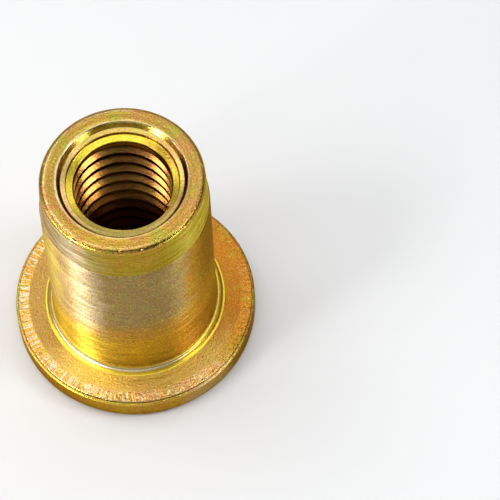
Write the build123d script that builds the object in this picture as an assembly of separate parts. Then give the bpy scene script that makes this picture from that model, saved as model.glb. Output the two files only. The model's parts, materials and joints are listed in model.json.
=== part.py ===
from build123d import *
from math import radians, tan
import os

# Flat-head rivet nut, M6, plain round shank, open end: one piece of cold-formed steel.
# The origin is the centre of the head face, and +Z runs along the axis towards the nose.
# The nut stands on its head face. Sizes are in millimetres and angles in degrees.

# Overall sizes
total_length = 15.0
shank_diameter = 8.9                # goes through a 9 mm hole in the sheet
head_overhang = 2.05                # radial, from the shank to the rim
head_thickness = 1.7

# Rim of the head, from the head face up to the bearing face
rim_rounding = 0.5                  # rolled corner at the head face
rim_bevel = 0.1                     # at the step below the lip
lip_height = 0.2                    # thin lip that the forming die leaves under the bearing face
lip_setback = 0.14                  # radial, from the rim to the lip
lip_bevel = 0.06

# Coined band round the edge of the bearing face
coined_band_width = 0.6
coined_band_drop = 0.05

# Collar where the shank meets the bearing face
collar_width = 0.25
collar_height = 0.36
collar_root_rounding = 0.12
collar_edge_rounding = 0.12
shank_root_rounding = 0.08

# Tapered nose
nose_taper_length = 2.45
nose_taper_inset = 0.12             # radial, over the whole taper
shoulder_inset = 0.04               # small radial step where the taper starts
shoulder_length = 0.12
nose_edge_rounding = 0.35

# Threaded bore, at the minor diameter of the M6 x 1 thread
thread_minor_diameter = 5.1
threaded_depth = 10.5               # from the nose face to the last full turn
countersink_depth = 0.49
countersink_angle = 60.0            # between the axis and the cone's wall

# Collapse chamber between the thread and the head: its thin wall folds into the rivet's bulge
chamber_wall = 1.0
chamber_cone_angle = 45.0           # between the axis and the cone's wall
chamber_corner_rounding = 0.3
entry_chamfer = 0.3                 # at the screw's way in, in the head face

# Sizes that follow from those above
shank_radius = shank_diameter / 2
rim_radius = shank_radius + head_overhang
lip_radius = rim_radius - lip_setback
nose_taper_start = total_length - nose_taper_length
shoulder_radius = shank_radius - shoulder_inset
nose_radius = shoulder_radius - nose_taper_inset
thread_radius = thread_minor_diameter / 2
countersink_radius = thread_radius + countersink_depth * tan(radians(countersink_angle))
chamber_radius = shank_radius - chamber_wall
chamber_cone_length = (chamber_radius - thread_radius) / tan(radians(chamber_cone_angle))
thread_end = total_length - threaded_depth
chamber_end = thread_end - chamber_cone_length


# Each function gives corners of the half section in order, as (radius, height, rounding).

def head_corners():
    """The flat head: head face, rolled rim, die lip and bearing face with its coined band."""
    return [
        (rim_radius, 0, rim_rounding),
        (rim_radius, head_thickness - lip_height - rim_bevel, 0),
        (rim_radius - rim_bevel, head_thickness - lip_height, 0),
        (lip_radius, head_thickness - lip_height, 0),
        (lip_radius, head_thickness - coined_band_drop - lip_bevel, 0),
        (lip_radius - lip_bevel, head_thickness - coined_band_drop, 0),
        (lip_radius - coined_band_width, head_thickness, 0),
    ]


def shank_corners():
    """The collar at the shank's root, and the shank up to the taper."""
    collar_radius = shank_radius + collar_width
    collar_top = head_thickness + collar_height
    return [
        (collar_radius, head_thickness, collar_root_rounding),
        (collar_radius, collar_top, collar_edge_rounding),
        (shank_radius, collar_top, shank_root_rounding),
        (shank_radius, nose_taper_start - shoulder_length, 0),
    ]


def nose_corners():
    """The shoulder, the taper and the nose face."""
    return [
        (shoulder_radius, nose_taper_start, 0),
        (nose_radius, total_length, nose_edge_rounding),
    ]


def bore_corners():
    """The stepped bore, from the countersink in the nose down to the mouth in the head face."""
    return [
        (countersink_radius, total_length, 0),
        (thread_radius, total_length - countersink_depth, 0),
        (thread_radius, thread_end, 0),
        (chamber_radius, chamber_end, chamber_corner_rounding),
        (chamber_radius, entry_chamfer, 0),
        (chamber_radius + entry_chamfer, 0, 0),
    ]


def half_section():
    """The face that turns into the nut, in the XZ plane, on the +X side of the axis."""
    corners = head_corners() + shank_corners() + nose_corners() + bore_corners()
    points = [(radius, height) for radius, height, rounding in corners]
    roundings = [rounding for radius, height, rounding in corners]
    with BuildSketch(Plane.XZ) as section:
        with BuildLine():
            FilletPolyline(*points, radius=roundings, close=True)
        make_face()
    return section.sketch


rivet_nut = revolve(half_section(), Axis.Z)
rivet_nut.label = "rivet_nut"

os.makedirs("parts", exist_ok=True)
export_step(rivet_nut, "parts/rivet_nut.step")
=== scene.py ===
import json
import math
import random

import bpy
from mathutils import Matrix, Vector, noise


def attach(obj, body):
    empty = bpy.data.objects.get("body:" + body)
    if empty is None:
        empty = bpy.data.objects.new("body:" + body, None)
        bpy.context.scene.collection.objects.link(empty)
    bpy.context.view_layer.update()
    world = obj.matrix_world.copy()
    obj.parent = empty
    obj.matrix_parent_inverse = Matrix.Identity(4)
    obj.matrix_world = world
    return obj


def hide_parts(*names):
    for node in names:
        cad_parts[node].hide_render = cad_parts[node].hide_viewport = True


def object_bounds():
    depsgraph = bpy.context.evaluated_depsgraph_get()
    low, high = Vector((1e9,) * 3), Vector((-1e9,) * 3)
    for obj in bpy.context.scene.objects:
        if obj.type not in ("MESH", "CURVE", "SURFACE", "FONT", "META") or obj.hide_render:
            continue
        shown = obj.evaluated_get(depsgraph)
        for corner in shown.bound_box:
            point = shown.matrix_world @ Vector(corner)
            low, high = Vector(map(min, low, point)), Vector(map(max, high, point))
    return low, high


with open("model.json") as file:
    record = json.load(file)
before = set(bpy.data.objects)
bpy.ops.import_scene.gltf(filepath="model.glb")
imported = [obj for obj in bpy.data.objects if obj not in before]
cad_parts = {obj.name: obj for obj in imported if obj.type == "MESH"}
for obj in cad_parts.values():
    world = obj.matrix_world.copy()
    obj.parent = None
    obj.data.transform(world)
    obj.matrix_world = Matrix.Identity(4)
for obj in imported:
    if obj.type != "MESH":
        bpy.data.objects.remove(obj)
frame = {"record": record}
cad_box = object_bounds()

# The nut is worked out in millimetres and scaled to metres when its mesh is made.
MM = 0.001

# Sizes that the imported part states
MOUNTS = {mount["name"]: mount for mount in frame["record"]["mounts"]}
RIM_RADIUS = cad_box[1].x / MM
LENGTH = cad_box[1].z / MM
HEAD_THICKNESS = MOUNTS["bearing_face"]["pos_m"][2] / MM
SHANK_RADIUS = MOUNTS["shank"]["dims"]["r_mm"]
THREAD_RADIUS = MOUNTS["thread"]["dims"]["r_mm"]
CHAMBER_RADIUS = MOUNTS["collapse_chamber"]["dims"]["r_mm"]

# Head: rim, lip, coined band and collar
RIM_ROUNDING = 0.5
RIM_BEVEL = 0.1
LIP_HEIGHT = 0.2
LIP_SETBACK = 0.14
LIP_ROOT_ROUNDING = 0.02
LIP_EDGE_ROUNDING = 0.06
COINED_WIDTH = 0.6
COINED_DROP = 0.05
COINED_ROUNDING = 0.3           # between the band and the flat bearing face
COLLAR_WIDTH = 0.25
COLLAR_HEIGHT = 0.36
COLLAR_LEAN = 0.05              # its side leans in by this much, each way from its radius
COLLAR_ROOT_ROUNDING = 0.16
COLLAR_TOP_ROUNDING = 0.18
SHANK_ROOT_ROUNDING = 0.08
LIP_RADIUS = RIM_RADIUS - LIP_SETBACK
LIP_BASE = HEAD_THICKNESS - LIP_HEIGHT
COLLAR_RADIUS = SHANK_RADIUS + COLLAR_WIDTH
COLLAR_TOP = HEAD_THICKNESS + COLLAR_HEIGHT

# Nose
TAPER_LENGTH = 2.40
TAPER_INSET = 0.12
SHOULDER_INSET = 0.04
SHOULDER_LENGTH = 0.12
SHOULDER_ROUNDING = 0.03
NOSE_ROUNDING = 0.30
SHOULDER_RADIUS = SHANK_RADIUS - SHOULDER_INSET
NOSE_RADIUS = SHOULDER_RADIUS - TAPER_INSET
TAPER_START = LENGTH - TAPER_LENGTH

# The stepped mouth of the bore, from the nose inwards: radius, depth and rounding of each corner
COUNTERSINK = [
    (3.40, 0, 0.12),
    (3.21, 0.30, 0.05),
    (2.96, 0.38, 0.02),
    (2.94, 0.56, 0.02),
    (2.60, 0.69, 0.04),
]
COUNTERSINK_DEPTH = 0.80
MOUTH_RADIUS = COUNTERSINK[0][0]

# Bore
THREADED_DEPTH = 10.5
THREAD_END = LENGTH - THREADED_DEPTH
CHAMBER_END = THREAD_END - (CHAMBER_RADIUS - THREAD_RADIUS)
CHAMBER_CORNER = 0.3
ENTRY_CHAMFER = 0.3
ENTRY_ROUNDING = 0.05

# Thread
PITCH = 1.0
GROOVE_RADIUS = 2.95            # at the groove's floor
GROOVE_FLOOR = 0.20             # width of the floor
FLANK_ANGLE = math.radians(30)  # between a flank and the radius
FLANK_SLOPE = 1 / math.tan(FLANK_ANGLE)
HELIX_DEPTH = 0.46              # depth at which the helix, drawn on upwards, would meet the far side
THREAD_START = 0.35             # the groove starts this share of a turn below that
FAR_SIDE = 0.25                 # share of a turn from +X to the far side
CUTTER_RADIUS = 2.35            # inner edge of the thread cutter, inside the bore

# How finely the surface is divided
SEGMENTS = 300
THREAD_SEGMENTS = 150           # in each turn
BAND_SPLIT = 4                  # the coined band has this many times as many segments
BAND_ROWS = 8
SUPPORT = 0.04                  # rings this close to each end of a long straight run
ARC_STEPS = 12                  # for each radian of an arc with a radius of 1 mm
LEAST_ARC_STEPS = 3
SHARP_EDGE = math.radians(30)

# The surface of the cold-formed head wavers slowly: fineness and height of each wave
WAVES = [(0.9, 0.006), (3.1, 0.003)]
WAVERING = ("rim", "band", "seat", "collar")

# Coined marks in the band. Their ends are shares of its width, from the outer edge.
COINED_MARKS = 165
MARK_WANDER = 0.38              # share of the even spacing
MARK_HALF_WIDTHS = (0.06, 0.12)
MARK_DEPTHS = (0.005, 0.015, 0.022, 0.032)
MARK_DEPTH_SPREAD = (0.8, 1.2)
MARK_INNER_ENDS = (0.45, 1.0)
MARK_OUTER_ENDS = (-0.1, 0.3)
MARK_SKEW = 0.12
MARK_OUTER_FADE = 0.2
MARK_INNER_FADE = 0.25
random.seed(7)


# ---------------------------------------------------------------- profile

def arc(corner, before, after, rounding):
    """Points of the arc that rounds a corner of the profile."""
    back = (before - corner).normalized()
    ahead = (after - corner).normalized()
    half = back.angle(ahead) / 2
    spoke = back * rounding / math.tan(half) - (back + ahead).normalized() * rounding / math.sin(half)
    centre = corner + (back + ahead).normalized() * rounding / math.sin(half)
    turn = math.pi - 2 * half
    steps = max(LEAST_ARC_STEPS, math.ceil(turn * math.sqrt(rounding) * ARC_STEPS))
    way = 1 if (corner - before).cross(after - corner) > 0 else -1
    return [centre + Matrix.Rotation(way * turn * k / steps, 2) @ spoke for k in range(steps + 1)]


def profile_corners():
    """Corners from the chamber out round the head, up to the nose and down the bore.

    Each is (radius, height, rounding, finish of the surface that follows).
    """
    return [
        (THREAD_RADIUS, THREAD_END, 0, "bore"),
        (CHAMBER_RADIUS, CHAMBER_END, CHAMBER_CORNER, "bore"),
        (CHAMBER_RADIUS, ENTRY_CHAMFER, ENTRY_ROUNDING, "head"),
        (CHAMBER_RADIUS + ENTRY_CHAMFER, 0, ENTRY_ROUNDING, "head"),
        (RIM_RADIUS, 0, RIM_ROUNDING, "rim"),
        (RIM_RADIUS, LIP_BASE, RIM_BEVEL, "rim"),
        (LIP_RADIUS, LIP_BASE, LIP_ROOT_ROUNDING, "rim"),
        (LIP_RADIUS, HEAD_THICKNESS - COINED_DROP, LIP_EDGE_ROUNDING, "band"),
        (LIP_RADIUS - COINED_WIDTH, HEAD_THICKNESS, COINED_ROUNDING, "seat"),
        (COLLAR_RADIUS + COLLAR_LEAN, HEAD_THICKNESS, COLLAR_ROOT_ROUNDING, "collar"),
        (COLLAR_RADIUS - COLLAR_LEAN, COLLAR_TOP, COLLAR_TOP_ROUNDING, "collar"),
        (SHANK_RADIUS, COLLAR_TOP, SHANK_ROOT_ROUNDING, "shank"),
        (SHANK_RADIUS, TAPER_START - SHOULDER_LENGTH, SHOULDER_ROUNDING, "shank"),
        (SHOULDER_RADIUS, TAPER_START, SHOULDER_ROUNDING, "taper"),
        (NOSE_RADIUS, LENGTH, NOSE_ROUNDING, "nose"),
        *((radius, LENGTH - depth, rounding, "bore") for radius, depth, rounding in COUNTERSINK),
        (THREAD_RADIUS, LENGTH - COUNTERSINK_DEPTH, 0, "bore"),
    ]


def rows_between(last, first, finish):
    """Points along a straight run, close to its ends, and evenly over the coined band."""
    run = first - last
    if run.length <= 3 * SUPPORT:
        return []
    step = run.normalized() * SUPPORT
    if finish == "band":
        return [last + step + (run - 2 * step) * k / BAND_ROWS for k in range(BAND_ROWS + 1)]
    return [last + step, first - step]


def profile():
    """The closed outline as (place, finish) points, with its corners rounded."""
    corners = profile_corners()
    places = [Vector(corner[:2]) for corner in corners]
    points = [(places[0], corners[0][3])]
    for i in range(1, len(corners)):
        rounding, finish = corners[i][2:]
        after = places[(i + 1) % len(corners)]
        bend = arc(places[i], places[i - 1], after, rounding) if rounding else [places[i]]
        last, last_finish = points[-1]
        points += [(row, last_finish) for row in rows_between(last, bend[0], last_finish)]
        points += [(place, finish) for place in bend]
    return points


# ---------------------------------------------------------------- coined marks and waver

def coined_marks():
    """Short radial dents, unevenly spaced and cut: angle, half width, depth, outer and inner end, skew."""
    marks = []
    for k in range(COINED_MARKS):
        angle = 2 * math.pi * (k + random.uniform(-MARK_WANDER, MARK_WANDER)) / COINED_MARKS
        half_width = random.uniform(*MARK_HALF_WIDTHS) / LIP_RADIUS
        depth = random.choice(MARK_DEPTHS) * random.uniform(*MARK_DEPTH_SPREAD)
        inner = random.uniform(*MARK_INNER_ENDS)
        outer = random.uniform(*MARK_OUTER_ENDS)
        skew = random.uniform(-MARK_SKEW, MARK_SKEW) / LIP_RADIUS
        marks.append((angle, half_width, depth, outer, inner, skew))
    return marks


MARKS = coined_marks()


def mark_depth(angle, across):
    """Depth of the coined marks at an angle, across the band from its outer edge 0 to its inner edge 1."""
    deepest = 0
    first = int(angle / (2 * math.pi) * COINED_MARKS)
    for k in range(first - 1, first + 3):
        centre, half_width, depth, outer, inner, skew = MARKS[k % COINED_MARKS]
        offset = angle - centre - skew * (across - 0.5)
        offset = (offset + math.pi) % (2 * math.pi) - math.pi
        side = max(0, 1 - (offset / half_width) ** 2)
        outer_end = min(1, max(0, (across - outer) / MARK_OUTER_FADE))
        inner_end = min(1, max(0, (inner - across) / MARK_INNER_FADE))
        deepest = max(deepest, depth * side * outer_end * inner_end)
    return deepest


def waver(angle, radius, height):
    """How far the cold-formed surface stands out or in."""
    spot = Vector((math.cos(angle) * radius, math.sin(angle) * radius, height))
    return sum(noise.noise(spot * fineness) * size for fineness, size in WAVES)


# ---------------------------------------------------------------- the nut's mesh

def across_band(points, i):
    """How far a point lies across the coined band, from its outer edge 0, or None off the band."""
    if any(points[j][1] != "band" for j in (i, i - 1, i + 1)):
        return None
    radius = points[i][0].x
    middle = LIP_RADIUS - COINED_WIDTH / 2
    if abs(radius - middle) >= COINED_WIDTH / 2 - SUPPORT:
        return None
    return (LIP_RADIUS - radius) / COINED_WIDTH


def add_ring(vertices, place, finish, across):
    """Add the ring of vertices at a point of the profile, and list their numbers, anticlockwise from +X."""
    count = SEGMENTS if across is None else SEGMENTS * BAND_SPLIT
    numbers = []
    for k in range(count):
        angle = 2 * math.pi * k / count
        radius, height = place
        if finish in WAVERING:
            radius += waver(angle, radius, height)
        if across is not None:
            height -= mark_depth(angle, across)
        numbers.append(len(vertices))
        vertices.append((radius * math.cos(angle), radius * math.sin(angle), height))
    return numbers


def join_rings(low, high):
    """Faces between two rings, where one may have a whole number of times as many vertices."""
    faces = []
    if len(high) > len(low):
        split = len(high) // len(low)
        for k in range(len(low)):
            below = [low[k], low[(k + 1) % len(low)]]
            faces.append(below + [high[(k * split + j) % len(high)] for j in range(split, -1, -1)])
    else:
        split = len(low) // len(high)
        for k in range(len(high)):
            above = [high[(k + 1) % len(high)], high[k]]
            faces.append([low[(k * split + j) % len(low)] for j in range(split + 1)] + above)
    return faces


def turned_mesh():
    """The nut before its thread is cut: one closed turned surface, with the coined marks."""
    vertices, faces, finishes = [], [], []
    points = profile()
    rings = [
        add_ring(vertices, place, finish, across_band(points, i))
        for i, (place, finish) in enumerate(points)
    ]
    for i, (place, finish) in enumerate(points):
        joined = join_rings(rings[i], rings[(i + 1) % len(rings)])
        faces += joined
        finishes += [finish] * len(joined)
    mesh = bpy.data.meshes.new("rivet_nut_plated")
    mesh.from_pydata([Vector(vertex) * MM for vertex in vertices], [], faces)
    names = list(FINISHES)
    for name in names:
        mesh.materials.append(FINISHES[name])
    for polygon, finish in zip(mesh.polygons, finishes):
        polygon.material_index = names.index(finish)
    mesh.update()
    return mesh


# ---------------------------------------------------------------- thread

def thread_cutter():
    """A right-hand helical bar with the groove's section, from inside the chamber up to the front right."""
    half_floor = GROOVE_FLOOR / 2
    half_mouth = half_floor + (GROOVE_RADIUS - CUTTER_RADIUS) / FLANK_SLOPE
    section = [
        (CUTTER_RADIUS, -half_mouth),
        (GROOVE_RADIUS, -half_floor),
        (GROOVE_RADIUS, half_floor),
        (CUTTER_RADIUS, half_mouth),
    ]
    # Step 0 of the helix is on the far side at HELIX_DEPTH, and the steps below it have lower numbers.
    bottom = -(THREADED_DEPTH + CHAMBER_RADIUS - THREAD_RADIUS + half_mouth)
    top = -HELIX_DEPTH - THREAD_START * PITCH
    first = math.floor((bottom + HELIX_DEPTH) / PITCH * THREAD_SEGMENTS)
    last = math.ceil((top + HELIX_DEPTH) / PITCH * THREAD_SEGMENTS)
    vertices, faces = [], []
    for k in range(first, last + 1):
        angle = 2 * math.pi * (k / THREAD_SEGMENTS + FAR_SIDE)
        height = LENGTH - HELIX_DEPTH + PITCH * k / THREAD_SEGMENTS
        for radius, offset in section:
            vertices.append((radius * math.cos(angle), radius * math.sin(angle), height + offset))
    count = len(section)
    for k in range(last - first):
        for j in range(count):
            a = k * count + j
            b = k * count + (j + 1) % count
            faces.append([a, a + count, b + count, b])
    bottom_end = list(range(count))
    top_end = [len(vertices) - 1 - j for j in range(count)]
    faces += [bottom_end, top_end]
    mesh = bpy.data.meshes.new("thread_cutter")
    mesh.from_pydata([Vector(vertex) * MM for vertex in vertices], [], faces)
    mesh.update()
    return mesh


def cut_thread(nut):
    """Cut the thread out of the nut and keep the result as its mesh."""
    cutter_mesh = thread_cutter()
    for name in FINISHES:
        cutter_mesh.materials.append(FINISHES[name])
    for polygon in cutter_mesh.polygons:
        polygon.material_index = list(FINISHES).index("bore")
    cutter = bpy.data.objects.new("thread_cutter", cutter_mesh)
    bpy.context.scene.collection.objects.link(cutter)
    cut = nut.modifiers.new("thread", "BOOLEAN")
    cut.operation = "DIFFERENCE"
    cut.solver = "EXACT"
    cut.object = cutter
    evaluated = nut.evaluated_get(bpy.context.evaluated_depsgraph_get())
    threaded = bpy.data.meshes.new_from_object(evaluated)
    nut.modifiers.clear()
    plain = nut.data
    nut.data = threaded
    threaded.name = "rivet_nut_plated"
    bpy.data.objects.remove(cutter)
    bpy.data.meshes.remove(cutter_mesh)
    bpy.data.meshes.remove(plain)
    threaded.polygons.foreach_set("use_smooth", [True] * len(threaded.polygons))
    threaded.set_sharp_from_angle(angle=SHARP_EDGE)


# ---------------------------------------------------------------- material nodes

class Graph:
    """Short calls for adding nodes to a material."""

    def __init__(self, name):
        self.material = bpy.data.materials.new(name)
        self.material.use_nodes = True
        self.tree = self.material.node_tree
        self.shader = self.tree.nodes["Principled BSDF"]

    def node(self, kind, **settings):
        made = self.tree.nodes.new(kind)
        for key, value in settings.items():
            setattr(made, key, value)
        return made

    def put(self, socket, value):
        if isinstance(value, bpy.types.NodeSocket):
            self.tree.links.new(value, socket)
        else:
            socket.default_value = value

    def math(self, operation, *values):
        made = self.node("ShaderNodeMath", operation=operation)
        for k, value in enumerate(values):
            self.put(made.inputs[k], value)
        return made.outputs[0]

    def mix(self, share, a, b):
        made = self.node("ShaderNodeMix", data_type="RGBA")
        self.put(made.inputs["Factor"], share)
        self.put(made.inputs["A"], a if isinstance(a, bpy.types.NodeSocket) else (*a, 1))
        self.put(made.inputs["B"], b if isinstance(b, bpy.types.NodeSocket) else (*b, 1))
        return made.outputs["Result"]

    def noise(self, vector, scale, detail=2.0, roughness=0.5):
        made = self.node("ShaderNodeTexNoise")
        self.put(made.inputs["Vector"], vector)
        made.inputs["Scale"].default_value = scale
        made.inputs["Detail"].default_value = detail
        made.inputs["Roughness"].default_value = roughness
        return made.outputs[0]

    def spots(self, vector, scale):
        made = self.node("ShaderNodeTexVoronoi")
        self.put(made.inputs["Vector"], vector)
        made.inputs["Scale"].default_value = scale
        return made.outputs["Distance"]

    def span(self, value, low, high, to_low=0.0, to_high=1.0):
        made = self.node("ShaderNodeMapRange")
        made.interpolation_type = "SMOOTHSTEP"
        self.put(made.inputs["Value"], value)
        made.inputs["From Min"].default_value = low
        made.inputs["From Max"].default_value = high
        self.put(made.inputs["To Min"], to_low)
        self.put(made.inputs["To Max"], to_high)
        return made.outputs["Result"]

    def vector(self, x, y, z):
        made = self.node("ShaderNodeCombineXYZ")
        for k, value in enumerate((x, y, z)):
            self.put(made.inputs[k], value)
        return made.outputs[0]

    def moved(self, vector, shift):
        made = self.node("ShaderNodeVectorMath", operation="ADD")
        self.put(made.inputs[0], vector)
        made.inputs[1].default_value = (shift, shift, shift)
        return made.outputs[0]

    def bump(self, height, distance, normal=None):
        made = self.node("ShaderNodeBump")
        made.inputs["Strength"].default_value = 1.0
        made.inputs["Distance"].default_value = distance * MM
        self.put(made.inputs["Height"], height)
        if normal:
            self.put(made.inputs["Normal"], normal)
        return made.outputs[0]


# Scales of the coordinates that are drawn out, for turning marks and for coined strokes
ROUND_SCALE = 0.45              # across the axis
ALONG_SCALE = 7.0               # along the axis and the radius
RADIAL_SCALE = 60.0             # for each radian round the axis


class Place:
    """Coordinates on the nut in millimetres, and the same drawn out round the axis or along the radius."""

    def __init__(self, g):
        coordinates = g.node("ShaderNodeTexCoord").outputs["Object"]
        scaled = g.node("ShaderNodeVectorMath", operation="SCALE")
        g.put(scaled.inputs[0], coordinates)
        scaled.inputs["Scale"].default_value = 1 / MM
        self.point = scaled.outputs[0]
        parts = g.node("ShaderNodeSeparateXYZ")
        g.put(parts.inputs[0], self.point)
        x, y, self.z = parts.outputs
        square = g.math("ADD", g.math("MULTIPLY", x, x), g.math("MULTIPLY", y, y))
        self.radius = g.math("SQRT", square)
        self.side = g.math("DIVIDE", x, self.radius)
        self.front = g.math("DIVIDE", g.math("MULTIPLY", y, -1.0), self.radius)
        along = g.math("ADD", self.z, self.radius)
        # For marks that run round the nut
        self.round = g.vector(
            g.math("MULTIPLY", x, ROUND_SCALE),
            g.math("MULTIPLY", y, ROUND_SCALE),
            g.math("MULTIPLY", along, ALONG_SCALE),
        )
        # For marks that run in and out
        self.radial = g.vector(
            g.math("MULTIPLY", self.side, RADIAL_SCALE),
            g.math("MULTIPLY", self.front, RADIAL_SCALE),
            along,
        )


# ---------------------------------------------------------------- plating

# Colours of the plating, and of the painted highlights and shade laid over it
GOLD = (0.80, 0.50, 0.06)
DEEP_GOLD = (0.95, 0.50, 0.006)
AMBER = (0.76, 0.37, 0.06)
RED_GOLD = (0.60, 0.20, 0.012)
HOT_GOLD = (1.0, 0.68, 0.06)
ORANGE = (0.86, 0.40, 0.03)
RUST = (0.50, 0.15, 0.01)
BURNT = (0.56, 0.24, 0.015)
COPPER = (0.54, 0.20, 0.05)
TAN = (0.50, 0.27, 0.08)
BROWN = (0.20, 0.08, 0.012)
BLACK = (0.02, 0.005, 0.001)
OLIVE = (0.36, 0.27, 0.04)
GREY_OLIVE = (0.39, 0.32, 0.19)
YELLOW_OLIVE = (0.95, 0.90, 0.22)
DULL_OLIVE = (0.44, 0.33, 0.055)
PALE = (0.66, 0.58, 0.46)
CREAM = (0.95, 0.80, 0.55)
WHITE_GOLD = (1.0, 0.93, 0.78)
SUN = (1.0, 0.80, 0.24)
GREEN = (0.38, 0.46, 0.05)
PINK = (0.62, 0.24, 0.10)
PEACH = (0.92, 0.60, 0.26)
YELLOW = (0.95, 0.72, 0.06)
GRAZING_TINT = (0.55, 0.36, 0.14, 1)

# Noises over the plating: scale, detail and roughness
STREAKS = (1.0, 4, 0.7)
DRIFT = (0.8, 3)
CUTS = (1.0, 3, 0.6)
GRAIN = (9, 3, 0.6)
PIT_SCALE = 2.8

# Flecks: noise scale, detail, roughness and shift, then the noise where each colour starts and is whole
PATCHES = (0.9, 4, 0.6, 11, [(0.5, 0.62, GREEN), (0.5, 0.38, PINK)])
SPECKS = (9.0, 3, 0.75, 5, [(0.51, 0.6, GREEN), (0.49, 0.4, PINK)])
GRIT = (13.0, 2, 0.7, 8, [(0.48, 0.36, BROWN), (0.54, 0.66, HOT_GOLD)])

HEIGHT_DRIFT = 4                # how far the drift moves the stops, for a wander of 1
SECTOR_DRIFT = 0.4              # how far it moves the edges of the sectors

# Painted glints on the coined strokes come in between these values of the cuts' noise and between these
# radii.
STROKE_CUTS = (0.48, 0.56)
STROKE_REACH = (LIP_RADIUS - 0.18, LIP_RADIUS - 0.06)
STROKE_RAGGED = 0.8             # how unevenly they end
STROKE_SHARE = 0.9

LINE_STREAKS = (0.36, 0.62)     # noise between which the dark turning lines fade
LINE_SHARE = 0.35
PIT_SHINE = (0.17, 0.05)        # distances from a pit's middle between which its painted glint comes in
PIT_SHARE = 0.7
PIT_WALL = (0.0, 0.2)           # distances between which its wall rises
ROUGH_STREAKS = (0.3, 0.7)      # noise of the least and of the greatest roughness
QUARTER_TURN = 0.25


def banded(g, place, height, stops, rings):
    """Colours that change with the height and with the distance from the axis."""
    low, colour = stops[0]
    for high, above in stops[1:]:
        colour = g.mix(g.span(height, low, high), colour, above)
        low = high
    for start, whole, tone, share in rings:
        colour = g.mix(g.span(place.radius, start, whole, 0, share), colour, tone)
    return colour


def painted_stroke_glints(g, place, cuts, colour):
    """Painted glints, in a pale colour, on the strokes where the coining cut the outer part of the band."""
    ragged = g.math("ADD", place.radius, g.math("MULTIPLY", cuts, STROKE_RAGGED))
    reach = g.span(ragged, *STROKE_REACH, 0, STROKE_SHARE)
    return g.mix(g.span(cuts, *STROKE_CUTS, 0, reach), colour, WHITE_GOLD)


def painted_shading_sector(start, whole, tone, share, bottom=-2, top=-1):
    """A colour of painted light and shade for one side of the nut, which makes that side lighter or darker.

    It comes in between two shares of the radius, -1 to 1 across the nut, and between two heights. The
    default heights lie below the nut, so that it is whole at every height.
    """
    return start, whole, tone, share, bottom, top


def lay_painted_shading(g, towards, sectors, drift, height, colour):
    """Lay sectors of painted light and shade, which face one way, over a colour."""
    turned = g.math("ADD", towards, g.math("MULTIPLY", drift, SECTOR_DRIFT))
    for start, whole, tone, share, bottom, top in sectors:
        reach = g.span(height, bottom, top, 0, share)
        colour = g.mix(g.span(turned, start, whole, 0, reach), colour, tone)
    return colour


def flecked(g, place, share, flecks, colour):
    """Flecks of two colours, where a noise is high and where it is low."""
    scale, detail, roughness, shift, tones = flecks
    texture = g.noise(g.moved(place.point, shift), scale, detail, roughness)
    for start, whole, tone in tones:
        colour = g.mix(g.span(texture, start, whole, 0, share), colour, tone)
    return colour


def brush(g, anisotropy):
    """Stretch the highlights along the axis, as on metal that was brushed round it."""
    g.shader.inputs["Anisotropic"].default_value = anisotropy
    g.shader.inputs["Anisotropic Rotation"].default_value = QUARTER_TURN
    tangent = g.node("ShaderNodeTangent", direction_type="RADIAL", axis="Z")
    g.put(g.shader.inputs["Tangent"], tangent.outputs[0])


def plated(name, stops, roughness, wander=0.3, patches=0.3, speckle=0.2, rings=(), right=(), front=(),
           deep=None, strokes=0.0, pocks=0.0, lines=0.0, grain=0.01, anisotropy=0.0):
    """Yellow-passivated zinc, with painted light and shade laid over its colours.

    stops: each height and its colour. The first colour holds below its height too.
    roughness: lowest and highest
    wander: how much the stops drift up and down
    patches, speckle: shares of the large and the small flecks
    rings: the radius where each starts, the radius where it is whole, its colour and its share
    right, front: sectors of painted light and shade towards +X and -Y, or with falling shares towards -X
    and +Y
    deep: the heights below which the bore is painted black, as painted shade deep inside it, and above
    which it has its own colours
    strokes, pocks, lines, grain: depths of the coined strokes, pits, turning marks and grain
    anisotropy: how far brushing stretches the highlights
    """
    g = Graph(name)
    place = Place(g)
    streaks = g.noise(place.round, *STREAKS)
    drift = g.math("SUBTRACT", g.noise(place.point, *DRIFT), 0.5)
    height = g.math("ADD", place.z, g.math("MULTIPLY", drift, wander * HEIGHT_DRIFT))
    colour = banded(g, place, height, stops, rings)
    normal = g.bump(g.noise(place.point, *GRAIN), grain)
    if lines:
        normal = g.bump(streaks, lines, normal)
    if strokes:
        cuts = g.noise(place.radial, *CUTS)
        # Painted glints on the coined strokes
        colour = painted_stroke_glints(g, place, cuts, colour)
        normal = g.bump(cuts, strokes, normal)
    # Painted light and shade: the sides of the nut made lighter or darker in colour
    colour = lay_painted_shading(g, place.side, right, drift, height, colour)
    colour = lay_painted_shading(g, place.front, front, drift, height, colour)
    for share, flecks in ((patches, PATCHES), (speckle, SPECKS), (speckle, GRIT)):
        colour = flecked(g, place, share, flecks, colour)
    if lines:
        colour = g.mix(g.span(streaks, *LINE_STREAKS, LINE_SHARE, 0), colour, BROWN)
    if pocks:
        pit = g.spots(place.point, PIT_SCALE)
        # Painted glints in the middles of the pits
        colour = g.mix(g.span(pit, *PIT_SHINE, 0, PIT_SHARE), colour, SUN)
        normal = g.bump(g.span(pit, *PIT_WALL), pocks, normal)
    if deep:
        # Painted shade: the bore fades to black deep inside
        colour = g.mix(g.span(height, *deep), BLACK, colour)
    g.put(g.shader.inputs["Base Color"], colour)
    g.shader.inputs["Metallic"].default_value = 1
    g.shader.inputs["Specular Tint"].default_value = GRAZING_TINT
    g.put(g.shader.inputs["Roughness"], g.span(streaks, *ROUGH_STREAKS, *roughness))
    if anisotropy:
        brush(g, anisotropy)
    g.put(g.shader.inputs["Normal"], normal)
    return g.material


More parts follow.
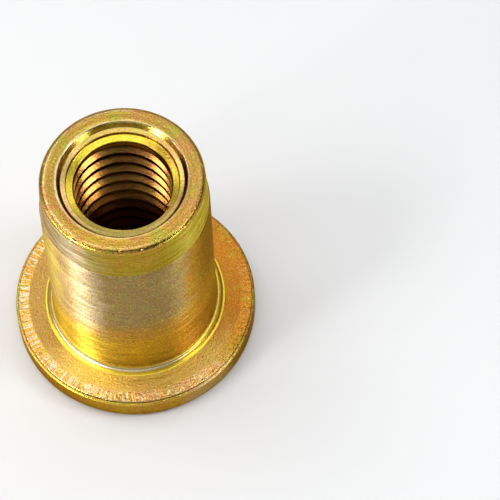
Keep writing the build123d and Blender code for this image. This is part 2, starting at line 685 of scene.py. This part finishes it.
FINISHES = {
    "bore": plated(
        "bore_plating",
        stops=[
            (LENGTH - 1.6, COPPER),
            (LENGTH - 0.8, YELLOW), (LENGTH - 0.55, YELLOW),
            # Painted shade: a brown band on the step of the mouth
            (LENGTH - 0.5, BROWN), (LENGTH - 0.44, BROWN),
            (LENGTH - 0.4, PEACH), (LENGTH - 0.29, PEACH),
            (LENGTH - 0.25, GOLD), (LENGTH - 0.1, GOLD),
            # Painted highlight: a cream line at the mouth's edge
            (LENGTH - 0.03, CREAM),
        ],
        roughness=(0.14, 0.26),
        wander=0.01,
        patches=0.25,
        speckle=0.3,
        # Painted shade on the right of the mouth, a painted highlight in front and painted shade behind
        right=[painted_shading_sector(0.4, 0.9, BROWN, 0.7, LENGTH - 1.0, LENGTH - 0.7)],
        front=[
            painted_shading_sector(0.4, 0.9, SUN, 0.7, LENGTH - 1.0, LENGTH - 0.7),
            painted_shading_sector(-0.5, -0.9, DULL_OLIVE, 0.7, LENGTH - 0.5, LENGTH - 0.4),
        ],
        # Painted shade deep in the bore
        deep=(LENGTH - 8.2, LENGTH - 5.0),
        grain=0.008,
    ),
    "head": plated(
        "head_plating",
        stops=[(0, AMBER), (1, GOLD)],
        roughness=(0.22, 0.36),
        grain=0.02,
    ),
    "rim": plated(
        "rim_plating",
        # Painted shade: the rim darker towards the bottom, lighter at the top
        stops=[(0, BROWN), (LIP_BASE - 0.4, TAN), (LIP_BASE - 0.14, TAN), (LIP_BASE - 0.04, GOLD)],
        roughness=(0.22, 0.36),
        wander=0.02,
        speckle=0.5,
        # Painted shade: a black line in the step under the lip
        rings=[(RIM_RADIUS - 0.08, RIM_RADIUS - 0.1, BLACK, 0.85)],
        # Painted highlight on the right, and painted shade further round
        right=[painted_shading_sector(0.2, 0.45, PALE, 0.45), painted_shading_sector(0.6, 0.9, BROWN, 1.0)],
        grain=0.02,
    ),
    "band": plated(
        "band_plating",
        stops=[(HEAD_THICKNESS, ORANGE)],
        roughness=(0.16, 0.28),
        speckle=0.4,
        # Painted shade on the right and on the left, and a painted highlight in front
        right=[painted_shading_sector(0.4, 0.75, RUST, 1.0), painted_shading_sector(-0.4, -0.9, TAN, 0.4)],
        front=[painted_shading_sector(0.5, 0.9, PEACH, 0.5)],
        strokes=0.02,
        grain=0.02,
    ),
    "seat": plated(
        "seat_plating",
        stops=[(HEAD_THICKNESS, YELLOW)],
        roughness=(0.26, 0.4),
        patches=0.1,
        speckle=0.35,
        # Painted reflection: the seat is yellow near the collar and orange further out
        rings=[(COLLAR_RADIUS + 0.25, COLLAR_RADIUS + 1.0, ORANGE, 0.9)],
        # Painted shade on the right and on the left
        right=[
            painted_shading_sector(0.35, 0.8, RED_GOLD, 1.0),
            painted_shading_sector(0.7, 0.9, RUST, 1.0),
            painted_shading_sector(-0.35, -0.8, TAN, 1.0),
        ],
        # Painted highlight in front
        front=[painted_shading_sector(0.3, 0.9, SUN, 0.85)],
        grain=0.03,
    ),
    "collar": plated(
        "collar_plating",
        # Painted highlight: a pale ring at the top of the collar
        stops=[(HEAD_THICKNESS + 0.1, YELLOW), (HEAD_THICKNESS + 0.22, WHITE_GOLD)],
        roughness=(0.3, 0.4),
        wander=0.01,
        patches=0.1,
        # Painted shade: a darker olive ring on the rounding into the shank
        rings=[(COLLAR_RADIUS - 0.04, COLLAR_RADIUS - 0.08, OLIVE, 0.9)],
        # Painted shade on the right: yellow instead of pale
        right=[painted_shading_sector(0.1, 0.7, YELLOW, 0.8)],
        grain=0.006,
    ),
    "shank": plated(
        "shank_plating",
        # Painted reflection: deep gold near the head; painted shade: duller grey-olive higher up
        stops=[(4.2, DEEP_GOLD), (5.6, AMBER), (7.6, GREY_OLIVE)],
        roughness=(0.34, 0.5),
        patches=0.15,
        speckle=0.6,
        # Painted highlights on the left and painted shade on the right, at some heights
        right=[
            painted_shading_sector(-0.1, -0.5, HOT_GOLD, 0.9, 6, 4),
            painted_shading_sector(0.1, 0.6, RED_GOLD, 0.75, 6, 4),
            painted_shading_sector(0.5, 0.75, BURNT, 0.9),
            painted_shading_sector(-0.3, -0.5, PALE, 0.9, 4, 8),
            painted_shading_sector(-0.62, -0.72, PEACH, 0.5, 4, 8),
            painted_shading_sector(-0.8, -0.92, SUN, 0.9, 4, 8),
            painted_shading_sector(0.70, 0.88, BROWN, 0.85, 6, 9),
        ],
        lines=0.007,
        grain=0.012,
        anisotropy=0.9,
    ),
    "taper": plated(
        "taper_plating",
        stops=[(TAPER_START, DULL_OLIVE)],
        roughness=(0.2, 0.34),
        speckle=0.4,
        # Painted highlights on the left and on the right, and painted shade in front
        right=[painted_shading_sector(-0.2, -0.65, WHITE_GOLD, 0.9), painted_shading_sector(0.35, 0.65, YELLOW_OLIVE, 1.0)],
        front=[painted_shading_sector(0.6, 0.95, OLIVE, 0.7)],
        lines=0.006,
        anisotropy=0.8,
    ),
    "nose": plated(
        "nose_plating",
        # Painted shade: darker amber down the rounded edge
        stops=[(LENGTH - 0.6, AMBER), (LENGTH - 0.1, GOLD)],
        roughness=(0.18, 0.34),
        patches=0.9,
        speckle=0.7,
        rings=[
            (MOUTH_RADIUS + 0.1, MOUTH_RADIUS + 0.22, DULL_OLIVE, 0.8),
            # Painted highlight: a cream line on the rounded edge, with painted shade outside it
            (NOSE_RADIUS - 0.33, NOSE_RADIUS - 0.29, CREAM, 0.8),
            (NOSE_RADIUS - 0.23, NOSE_RADIUS - 0.19, TAN, 0.9),
            # Painted highlight: a cream line at the mouth's edge
            (MOUTH_RADIUS + 0.14, MOUTH_RADIUS + 0.08, CREAM, 0.9),
        ],
        # Painted light and shade: tan on the right, more orange in front
        right=[painted_shading_sector(0.1, 0.6, TAN, 0.8)],
        front=[painted_shading_sector(0.4, 0.9, ORANGE, 0.4)],
        pocks=0.03,
        lines=0.008,
        grain=0.02,
    ),
}


# ---------------------------------------------------------------- floor, light and camera

FLOOR_SIZE = 3.0
FLOOR_COLOUR = (0.86, 0.87, 0.88, 1)
FLOOR_ROUGHNESS = 0.9

# The world is darkest in front and low down, and brightest this way: overhead, behind and to the left.
WORLD_BRIGHTEST = (-0.25, 0.6, 0.76)
WORLD_DARK_UP_TO = 0.3          # closeness to that direction, where 1 is along it
WORLD_BRIGHT_FROM = 0.9
WORLD_DARK = 0.05
WORLD_BRIGHT = 0.5

# Name, azimuth and elevation in degrees, distance, width and height, radiance.
# Azimuth 0 is in front, and 90 is on the right.
LAMPS = [
    ("left_edge", -88, 5, 0.25, 0.06, 0.045, 14.0),
    ("left_low", -57, 3.5, 0.25, 0.05, 0.045, 76.0),
    ("right_low", 50, 5, 0.25, 0.07, 0.045, 13.0),
    ("left_high", -75, 48, 0.25, 0.07, 0.07, 7.0),
    ("right_high", 75, 48, 0.25, 0.07, 0.07, 7.5),
    ("left_back", -128, 52, 0.30, 0.10, 0.10, 2.8),
    ("right_back", 124, 36, 0.25, 0.12, 0.10, 1.0),
    ("back_low", 180, 8, 0.25, 0.16, 0.06, 0.9),
    ("back_high", 180, 60, 0.30, 0.34, 0.28, 0.65),
    ("front_low", -15, 24, 0.25, 0.24, 0.10, 0.9),
    ("top_lamp", 0, 85, 0.30, 0.30, 0.18, 1.2),
]

# The camera stands before and above the nut, and is turned so that the nut stands left of the middle.
CAMERA_DISTANCE = 0.210
CAMERA_ELEVATION = math.radians(63.259)
TURN_RIGHT = math.radians(1.782)
TURN_UP = math.radians(0.694)
ROLL = math.radians(6.495)
LENS = 275.84
SENSOR = 36
NEAREST_SEEN = 0.01


def pale_floor():
    """A wide matt floor, nearly white."""
    bpy.ops.mesh.primitive_plane_add(size=FLOOR_SIZE)
    floor = bpy.context.object
    floor.name = "floor"
    g = Graph("pale_floor")
    g.shader.inputs["Base Color"].default_value = FLOOR_COLOUR
    g.shader.inputs["Roughness"].default_value = FLOOR_ROUGHNESS
    g.shader.inputs["Specular IOR Level"].default_value = 0.0
    floor.data.materials.append(g.material)


def soft_lamp(name, azimuth, elevation, distance, width, height, radiance):
    """A soft box of an even radiance that faces the nut."""
    turn, rise = math.radians(azimuth), math.radians(elevation)
    towards = Vector((math.sin(turn) * math.cos(rise), -math.cos(turn) * math.cos(rise), math.sin(rise)))
    data = bpy.data.lights.new(name, "AREA")
    data.shape = "RECTANGLE"
    data.size, data.size_y = width, height
    data.energy = radiance * math.pi * width * height
    lamp = bpy.data.objects.new(name, data)
    lamp.location = towards * distance + Vector((0, 0, LENGTH / 2 * MM))
    lamp.rotation_euler = towards.to_track_quat("Z", "Y").to_euler()
    lamp.visible_camera = False
    bpy.context.scene.collection.objects.link(lamp)


def studio():
    """A grey surround."""
    world = bpy.data.worlds.new("studio")
    world.use_nodes = True
    tree = world.node_tree
    direction = tree.nodes.new("ShaderNodeTexCoord").outputs["Generated"]
    closeness = tree.nodes.new("ShaderNodeVectorMath")
    closeness.operation = "DOT_PRODUCT"
    closeness.inputs[1].default_value = WORLD_BRIGHTEST
    tree.links.new(direction, closeness.inputs[0])
    level = tree.nodes.new("ShaderNodeMapRange")
    level.inputs["From Min"].default_value = WORLD_DARK_UP_TO
    level.inputs["From Max"].default_value = WORLD_BRIGHT_FROM
    level.inputs["To Min"].default_value = WORLD_DARK
    level.inputs["To Max"].default_value = WORLD_BRIGHT
    tree.links.new(closeness.outputs["Value"], level.inputs["Value"])
    background = tree.nodes["Background"]
    background.inputs["Color"].default_value = (1, 1, 1, 1)
    tree.links.new(level.outputs["Result"], background.inputs["Strength"])
    bpy.context.scene.world = world


def aim_camera():
    """Place the camera and make it the scene's."""
    data = bpy.data.cameras.new("camera")
    data.lens = LENS
    data.sensor_width = SENSOR
    data.clip_start = NEAREST_SEEN
    camera = bpy.data.objects.new("camera", data)
    bpy.context.scene.collection.objects.link(camera)
    back = Vector((0, -math.cos(CAMERA_ELEVATION), math.sin(CAMERA_ELEVATION)))
    camera.matrix_world = (
        Matrix.Translation(back * CAMERA_DISTANCE)
        @ Matrix.Rotation(math.pi / 2 - CAMERA_ELEVATION, 4, "X")
        @ Matrix.Rotation(-TURN_RIGHT, 4, "Y")
        @ Matrix.Rotation(TURN_UP, 4, "X")
        @ Matrix.Rotation(-ROLL, 4, "Z")
    )
    bpy.context.scene.camera = camera


# ---------------------------------------------------------------- the scene

nut = bpy.data.objects.new("rivet_nut_plated", turned_mesh())
bpy.context.scene.collection.objects.link(nut)
cut_thread(nut)
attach(nut, "root")
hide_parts("rivet_nut")

pale_floor()
for lamp in LAMPS:
    soft_lamp(*lamp)
studio()
aim_camera()
bpy.context.scene.view_settings.view_transform = "Standard"
